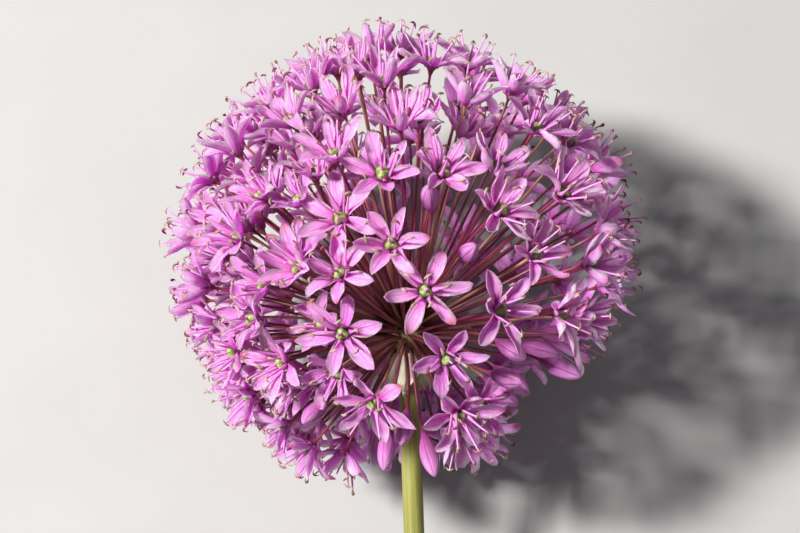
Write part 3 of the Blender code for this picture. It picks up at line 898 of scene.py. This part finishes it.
# The ovary's green is real, but its finish paints the grooves between the lobes darker, as painted
# shade, the lobes and warts lighter, as painted light, and the top lighter still, as a painted
# highlight.
OVARY_GROOVE_SHADE_TONE = (0.11, 0.15, 0.035)
LIT_LOBE_TONE = (0.26, 0.32, 0.09)
OVARY_TOP_HIGHLIGHT_TONE = (0.42, 0.48, 0.14)


def ovary_finish():
    material, tree = new_finish("ovary green", 0.32, (0.15, 0.5 * MM, (0.6, 1.0, 0.2)))
    along, tint, across, face = marked(tree, "along tint across face")
    warts = speckle(tree, 3200.0, 1.0)
    lobes = cosine(angle_round(across, face) * LOBES)
    # Painted light: lit lobes and warts, shaded grooves, and a painted highlight on the top.
    lit, top = eased(lobes * 0.6 + warts * 1.6 + 0.55), eased(along * 3.0 - 2.2) * 0.5
    colour = layered(OVARY_GROOVE_SHADE_TONE, (lit, LIT_LOBE_TONE), (top, OVARY_TOP_HIGHLIGHT_TONE))
    return painted(material, toned(colour, tint * 0.01, tint * 0.12), warts, 0.25 * MM)


def ovary_row(floret):
    heart, axis = floret["heart"], floret["axis"]
    side = axis.cross(floret["tepals"][0]["tip"] - heart).normalized()
    return {"heel": heart + axis * OVARY_MIDDLE, "side": side, "upward": axis,
            "size": draws.uniform(*OVARY_SIZES), "tint": draws.normal(0, TINT_SPREAD)}


def ovary_shape(at):
    latitude = (at.along - 0.5) * OVARY_SPAN
    lobes = 1.0 + 0.18 * cosine(angle_round(at.across, at.face) * LOBES)
    warts = noise(at.heel * 900.0 + vector_of(at.across, at.face, at.along * 2.0), 2.2)
    girth = cosine(latitude) * lobes * (1.0 + warts * 0.35) * at.radius * at.size
    front = cross(at.upward, at.side)
    level = at.upward * (sine(latitude) * at.height * at.size)
    return at.heel + at.side * (at.across * girth) + front * (at.face * girth) + level


ovaries = grow(
    "ovaries", [ovary_row(floret) for floret in florets], ovary_shape, ovary_finish(), sides=15, rings=7,
    radius=1.32 * MM, height=1.12 * MM)

# %% [markdown]
# ## The pedicels
#
# A pedicel is a straight thread of one thickness that swells at its foot and opens
# below the tepals to the small disc that carries them. It leaves the receptacle
# where the solid's pedicel does and comes up to the floret along the floret's own
# axis, so it arches very slightly. Most are burgundy, and some stay tan.

# %% Grow the pedicels
PEDICEL_FOOT = 3.6 * MM
HEART_DISC = 1.3 * MM
BUD_NECK = 0.42 * MM
PEDICEL_BENDS = (0.25, 0.4)
BURGUNDY_TONE = (0.20, 0.02, 0.06)
RUDDY_TONE = (0.30, 0.06, 0.08)
TAN_TONE = (0.40, 0.25, 0.13)
FOOT_TONE = (0.54, 0.38, 0.21)
END_TONE = (0.56, 0.10, 0.40)


def pedicel_finish():
    material, tree = new_finish("pedicel burgundy", 0.4, (0.1, 0.5 * MM, (1.0, 0.3, 0.3)))
    along, tint, across, face = marked(tree, "along tint across face")
    streak = noise(vector_of(across * 1.5, face * 1.5, along * 3.0 + tint * 9.0), 2.0)
    ruddy, tan = eased(tint * 1.3 - 0.35 + streak), eased(tint * 5.0 - 3.6 + streak) * 0.7
    foot, end = eased(0.5 - along * 3.0 + streak) * 0.6, eased(along * 9.0 - 7.9)
    tones = (ruddy, RUDDY_TONE), (tan, TAN_TONE), (foot, FOOT_TONE), (end, END_TONE)
    return painted(material, layered(BURGUNDY_TONE, *tones), streak, 0.05 * MM)


def pedicel_row(part, end_radius):
    """A pedicel from the receptacle to the floret or bud that it carries."""
    heart, axis = part["heart"], part["axis"]
    heel = receptacle + (part["foot"] - receptacle).normalized() * PEDICEL_FOOT
    length = (heart - heel).length
    bend = heart - axis * length * draws.uniform(*PEDICEL_BENDS)
    return {"heel": heel, "bend": bend, "tip": heart, "side": axis.orthogonal(), "length": length,
            "end_radius": end_radius, "tint": draws.uniform()}


def pedicel_shape(at):
    share = 1 - (1 - at.along) * (1 - at.along)
    to_end = largest(1 - (1 - share) * at.length / at.flare_length, 0.0) ** 1.5
    swell = worked("EXPONENT", share * at.length / (0 - at.foot_length)) * at.foot_swell
    return round_tube(at, share, at.radius + (at.end_radius - at.radius) * to_end + swell)


for bud in buds:
    bud["axis"] = (bud["tip"] - bud["heart"]).normalized()
pedicel_rows = [pedicel_row(part, HEART_DISC) for part in florets]
pedicel_rows += [pedicel_row(part, BUD_NECK) for part in buds]
pedicels = grow(
    "pedicels", pedicel_rows, pedicel_shape, pedicel_finish(), sides=8, rings=14, radius=0.29 * MM,
    flare_length=2.2 * MM, foot_length=1.4 * MM, foot_swell=0.22 * MM)

# %% [markdown]
# ## The buds
#
# A closed bud is an egg of three outer tepals whose midribs show as dark lines, with
# the inner ones in the seams between them. There are few, so each can have more
# faces than a tepal.

# %% Grow the buds
BUD_FULLEST = 0.48
BUD_GIRTH = 0.9
BUD_TEPALS = 6.0
BUD_FOOT_TONE = (0.31, 0.05, 0.24)
BUD_TONE = (0.43, 0.11, 0.38)
BUD_END_TONE = (0.66, 0.32, 0.63)
BUD_RIB_TONE = (0.26, 0.03, 0.18)


def bud_finish():
    material, tree = new_finish("bud violet pink", 0.45, (0.2, 0.8 * MM, (1.0, 0.45, 0.95)))
    along, across, face, tint = marked(tree, "along across face tint")
    streak = noise(vector_of(across * 4.0, face * 4.0, along * 0.8 + tint * 7.0), 3.0, 3.0)
    side, end = eased(along * 2.6 - 0.2 + streak), eased(along * 2.0 - 1.0 + streak * 1.4) * 0.6
    rib = eased(cosine(angle_round(across, face) * BUD_TEPALS) * 6.0 - 4.8)
    colour = layered(BUD_FOOT_TONE, (side, BUD_TONE), (end, BUD_END_TONE), (rib * 0.65, BUD_RIB_TONE))
    colour = toned(colour, tint * 0.01, tint * 0.1 + streak * 0.6)
    return painted(material, colour, streak - rib * 0.5, 0.25 * MM)


def bud_row(bud):
    girth = bud["radius"] * BUD_GIRTH
    side = bud["axis"].orthogonal()
    return straight(bud["heart"], bud["tip"], side, radius=girth, tint=draws.normal(0, TINT_SPREAD))


def bud_shape(at):
    swell = sine(smallest(at.along / BUD_FULLEST, 1.0) * QUARTER_TURN) ** 1.4
    close = (1 - (largest(at.along - BUD_FULLEST, 0.0) / (1 - BUD_FULLEST)) ** 2.2) ** 0.8
    angle = angle_round(at.across, at.face) + at.along * at.twist
    ridges = cosine(angle * (BUD_TEPALS / 2)) * 0.05 + cosine(angle * BUD_TEPALS) * 0.035
    seams = 1.0 + ridges * sine(at.along * math.pi)
    girth = (at.neck + (at.radius - at.neck) * swell) * close * seams + at.blunt
    return round_tube(at, at.along, girth)


closed_buds = grow(
    "buds", [bud_row(bud) for bud in buds], bud_shape, bud_finish(), sides=30, rings=16,
    neck=0.4 * MM, blunt=0.06 * MM, twist=0.35)

# %% [markdown]
# ## The receptacle
#
# All the pedicels grow from a knob no wider than a pea. An icosphere makes it, since
# its points are spread evenly, and every point near the foot of a pedicel is raised,
# so the knob is as lumpy as the real one.

# %% Make the receptacle
KNOB_SIZE = 3.75 * MM
MOUND_HEIGHT = 0.7 * MM
MOUND_WIDTH = 0.16
KNOB_GREEN_TONE = (0.24, 0.22, 0.07)
KNOB_RED_TONE = (0.30, 0.06, 0.07)


def receptacle_finish():
    material, tree = new_finish("receptacle green", 0.5, (0.15, 0.8 * MM))
    patch = speckle(tree, 520.0, 3.0)
    grain = speckle(tree, 4000.0)
    colour = layered(KNOB_GREEN_TONE, (eased(patch * 2.4 + 0.35), KNOB_RED_TONE))
    return painted(material, toned(colour, 0.0, grain * 0.4), grain, 0.1 * MM)


def mesh_of(name, shape, material):
    """A named mesh of one material from a bmesh."""
    mesh = bpy.data.meshes.new(name)
    shape.to_mesh(mesh)
    shape.free()
    mesh.materials.append(material)
    return mesh


def make_receptacle():
    ways = np.array([(row["heel"] - receptacle).normalized() for row in pedicel_rows])
    shape = bmesh.new()
    bmesh.ops.create_icosphere(shape, subdivisions=5, radius=1.0)
    for vert in shape.verts:
        way = vert.co.normalized()
        turn = np.arccos(np.clip(ways @ np.array(way), -1, 1))
        mound = np.exp(-((turn / MOUND_WIDTH) ** 2)).max()
        vert.co = receptacle + way * (KNOB_SIZE + MOUND_HEIGHT * mound)
    piece = placed("receptacle", mesh_of("receptacle", shape, receptacle_finish()))
    piece.data.shade_smooth()
    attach(piece, "root")
    return piece


knob = make_receptacle()
print("receptacle", len(knob.data.polygons), "triangles")

# %% [markdown]
# ## The stem
#
# The scape is a smooth, faintly ribbed tube, a little stouter at its cut end. It is a
# single copy of the same bent tube, with many sides. Its finish is olive green with
# long streaks under a waxy bloom, and the cut shows pale pith inside a green rim.

# %% Grow the stem
STEM_RIBS = 11.0
CUT_SHARE = 0.0005
OLIVE_TONE = (0.155, 0.165, 0.025)
STREAK_TONE = (0.285, 0.265, 0.055)
BLOOM_TONE = (0.34, 0.35, 0.14)
NECK_TONE = (0.33, 0.20, 0.08)
PITH_TONE = (0.62, 0.64, 0.36)


def stem_finish():
    coat = [("Coat Weight", 0.08), ("Coat Roughness", 0.4)]
    material, tree = new_finish("stem green", 0.38, (0.1, 1.0 * MM, (0.5, 1.0, 0.2)), coat)
    along, across, face = marked(tree, "along across face")
    streak = noise(vector_of(across * 3.0, face * 3.0, along * 5.0), 2.5, 4.0)
    bloom = eased(speckle(tree, 90.0, 3.0) * 2.0 + 0.2) * 0.35
    speck = speckle(tree, 2500.0)
    outward = worked("SQRT", across * across + face * face)
    pith = worked("LESS_THAN", along, CUT_SHARE) * eased(8.0 - outward * 9.0)
    neck = eased(along * 6.0 - 5.1) * 0.5
    streaky = eased(streak * 2.2 + 0.5)
    tones = (streaky, STREAK_TONE), (bloom, BLOOM_TONE), (neck, NECK_TONE), (pith, PITH_TONE)
    colour = layered(OLIVE_TONE, *tones)
    return painted(material, toned(colour, 0.0, speck * 0.15), streak + speck * 0.3, 0.12 * MM)


def stem_shape(at):
    ribs = 1.0 + cosine(angle_round(at.across, at.face) * STEM_RIBS) * at.rib
    neck = largest(1 - (1 - at.along) * at.length / at.neck_length, 0.0) ** 2.0 * at.neck_swell
    radius = (at.foot_radius + (at.top_radius - at.foot_radius) * at.along) * ribs + neck
    return round_tube(at, at.along, radius)


stem_row = straight(cut_end, receptacle, right, length=(receptacle - cut_end).length)
stem = grow(
    "stem", [stem_row], stem_shape, stem_finish(), sides=44, rings=90, foot_radius=2.3 * MM,
    top_radius=2.15 * MM, rib=0.006, neck_length=6 * MM, neck_swell=1.0 * MM)
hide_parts("scape")

# %% [markdown]
# ## The spathe
#
# Before it opened, the umbel was wrapped in a papery spathe. It has split in two, and
# its halves hang under the umbel, dry, cream, veined, and torn along the lower edge.
# The solid of each half has two layers of five rows of five points. Halfway between
# the layers lies the blade, which is subdivided, veined, torn and given the thickness
# of paper.

# %% Spathe finish
PAPER_TONE = (0.58, 0.56, 0.34)
PALE_VEIN_TONE = (0.84, 0.82, 0.64)
BLUSH_TONE = (0.55, 0.22, 0.18)
TORN_EDGE_TONE = (0.50, 0.36, 0.20)


def spathe_finish():
    material, tree = new_finish("spathe paper", 0.62, (0.3, 0.6 * MM, (1.0, 0.9, 0.5)))
    along, across = marked(tree, "along across")
    vein = noise(vector_of(across * 5.0, along * 0.7, 0.0), 3.0, 3.0)
    blush = eased(noise(vector_of(across * 1.6, along * 0.5, 4.0), 2.0) * 3.0 + 0.1) * 0.35
    pale, edge = eased(vein * 2.4 + 0.5), eased(along * 4.0 - 3.2) * 0.6
    tones = (pale, PALE_VEIN_TONE), (blush, BLUSH_TONE), (edge, TORN_EDGE_TONE)
    return painted(material, layered(PAPER_TONE, *tones), vein, 0.2 * MM)


# %% Read and crumple a half of the spathe
BLADE_ROWS = 5
PAPER = 0.16 * MM
TEAR = 0.9 * MM
TEAR_START = 0.6
CRIMP = 0.14 * MM


def blade_points(node):
    """Rows of the points halfway between the two layers of a half's solid, from the top down."""
    points = sorted((vert.co.copy() for vert in welded(node).verts), key=lambda spot: -spot.dot(crown))
    per_row = len(points) // BLADE_ROWS
    out = middle(points) - receptacle
    out = (out - crown * out.dot(crown)).normalized()
    aside = crown.cross(out)

    def turn_of(spot):
        return math.atan2((spot - receptacle).dot(aside), (spot - receptacle).dot(out))

    rows = []
    for start in range(0, len(points), per_row):
        row = points[start : start + per_row]
        row.sort(key=turn_of)
        rows.append([(a + b) / 2 for a, b in zip(row[::2], row[1::2])])
    return rows


def crumple(mesh):
    """Raises a blade's veins and tears its lower edge."""
    along = [item.value for item in mesh.attributes["along"].data]
    across = [item.value for item in mesh.attributes["across"].data]
    normals = [item.vector.copy() for item in mesh.vertex_normals]
    for vert, share, place, normal in zip(mesh.vertices, along, across, normals):
        vein = math.sin(place * 19) * 0.4 + math.sin(place * 7.3 + share * 4) * 0.6
        tear = math.sin(place * 11 + 1) + 0.6 * math.sin(place * 27)
        depth = (max(0, share - TEAR_START) / (1 - TEAR_START)) ** 2
        vert.co += normal * (CRIMP * vein) + crown * (TEAR * tear * depth)


# %% Make the halves of the spathe
def blade_mesh(name, rows):
    """A grid of faces through rows of points, with their places along and across it."""
    columns = len(rows[0])
    faces = [
        (a, a + 1, a + columns + 1, a + columns)
        for row in range(len(rows) - 1) for a in range(row * columns, (row + 1) * columns - 1)
    ]
    mesh = bpy.data.meshes.new(name)
    mesh.from_pydata([point for row in rows for point in row], [], faces)
    along = [row / (len(rows) - 1) for row in range(len(rows)) for column in range(columns)]
    across = [column / (columns - 1) * 2 - 1 for row in rows for column in range(columns)]
    for label, values in (("along", along), ("across", across)):
        mesh.attributes.new(label, "FLOAT", "POINT").data.foreach_set("value", values)
    return mesh


def make_spathe(name, node):
    piece = placed(name, blade_mesh(name, blade_points(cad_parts[node])))
    smooth = piece.modifiers.new("smooth", "SUBSURF")
    smooth.levels = smooth.render_levels = 4
    piece.data = plain_mesh(piece)
    piece.modifiers.clear()
    crumple(piece.data)
    paper = piece.modifiers.new("paper", "SOLIDIFY")
    paper.thickness = PAPER
    paper.offset = 0.0
    paper.use_even_offset = True
    piece.data = plain_mesh(piece)
    piece.modifiers.clear()
    piece.data.name = name
    piece.data.shade_smooth()
    piece.data.materials.append(spathe_finish())
    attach(piece, "root")
    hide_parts(node)
    print(name, len(piece.data.polygons), "faces")


for number in (1, 2):
    make_spathe(f"spathe_blade_{number}", f"spathe_{number}")

# %% [markdown]
# ## The table, the light and the camera
#
# The head lies on a pale table. A small, strong lamp at the upper left gives it hard
# light, as the sun does, and a faint broad lamp and the sky fill the shadows. The
# camera looks straight down on the side that faces up, at a right angle to the stem.

# %% Lay the table
FLOOR_SIZE = 3.0
TABLE_TONE = (0.34, 0.34, 0.335)
GRAIN_TONE = (0.38, 0.38, 0.375)


def table_finish():
    material, tree = new_finish("table pale", 0.75)
    grain = speckle(tree, 30.0, 4.0)
    return painted(material, layered(TABLE_TONE, (grain + 0.5, GRAIN_TONE)))


shape = bmesh.new()
bmesh.ops.create_grid(shape, x_segments=1, y_segments=1, size=FLOOR_SIZE / 2)
table = placed("table", mesh_of("table", shape, table_finish()))
print("table", FLOOR_SIZE, "m wide")

# %% Hang the lamps
GLOBE_RISE = 15 * MM
SUNLIGHT = (1.0, 0.975, 0.95)
SKYLIGHT = (0.93, 0.95, 1.0)
SKY_STRENGTH = 0.15
globe = receptacle + crown * GLOBE_RISE


def lamp(name, place, distance, size, power, tone):
    """A square lamp that looks at the globe from so far right, toward the crown and skyward."""
    light = bpy.data.lights.new(name, "AREA")
    light.size = size
    light.energy = power
    light.color = tone
    way = toward(place)
    turn = way.to_track_quat("Z", "Y").to_matrix().to_4x4()
    placed(name, light).matrix_world = Matrix.Translation(globe + way * distance) @ turn
    print(name, power, "W from", round(distance, 2), "m")


lamp("sun_lamp", place=(-0.62, 0.28, 0.74), distance=1.8, size=0.26, power=80.0, tone=SUNLIGHT)
lamp("fill_lamp", place=(0.5, 0.1, 0.86), distance=1.2, size=0.9, power=0.8, tone=SKYLIGHT)
sky = bpy.data.worlds.new("sky")
bpy.context.scene.world = sky
sky.use_nodes = True
sky.node_tree.nodes["Background"].inputs["Color"].default_value = (*SKYLIGHT, 1)
sky.node_tree.nodes["Background"].inputs["Strength"].default_value = SKY_STRENGTH
bpy.context.scene.view_settings.view_transform = "Standard"

# %% Set up the camera
LENS = 100.0
SENSOR = 36.0
CAMERA_DISTANCE = 0.472
CAMERA_ROLL = math.radians(1.9)
IMAGE_SIZE = (800, 533)
GLOBE_PIXEL = (405, 262)
PIXEL = CAMERA_DISTANCE * SENSOR / LENS / IMAGE_SIZE[0]

camera_up = crown * math.cos(CAMERA_ROLL) + right * math.sin(CAMERA_ROLL)
camera_right = camera_up.cross(skyward)
aim = globe + camera_right * PIXEL * (IMAGE_SIZE[0] / 2 - GLOBE_PIXEL[0])
aim = aim - camera_up * PIXEL * (IMAGE_SIZE[1] / 2 - GLOBE_PIXEL[1])
lens = bpy.data.cameras.new("camera")
lens.lens = LENS
lens.sensor_width = SENSOR
camera = placed("camera", lens)
turn = Matrix((camera_right, camera_up, skyward)).transposed().to_4x4()
camera.matrix_world = Matrix.Translation(aim + skyward * CAMERA_DISTANCE) @ turn
bpy.context.scene.camera = camera
print("camera", camera.location)

# %% Bring the scene up to date
bpy.context.view_layer.update()
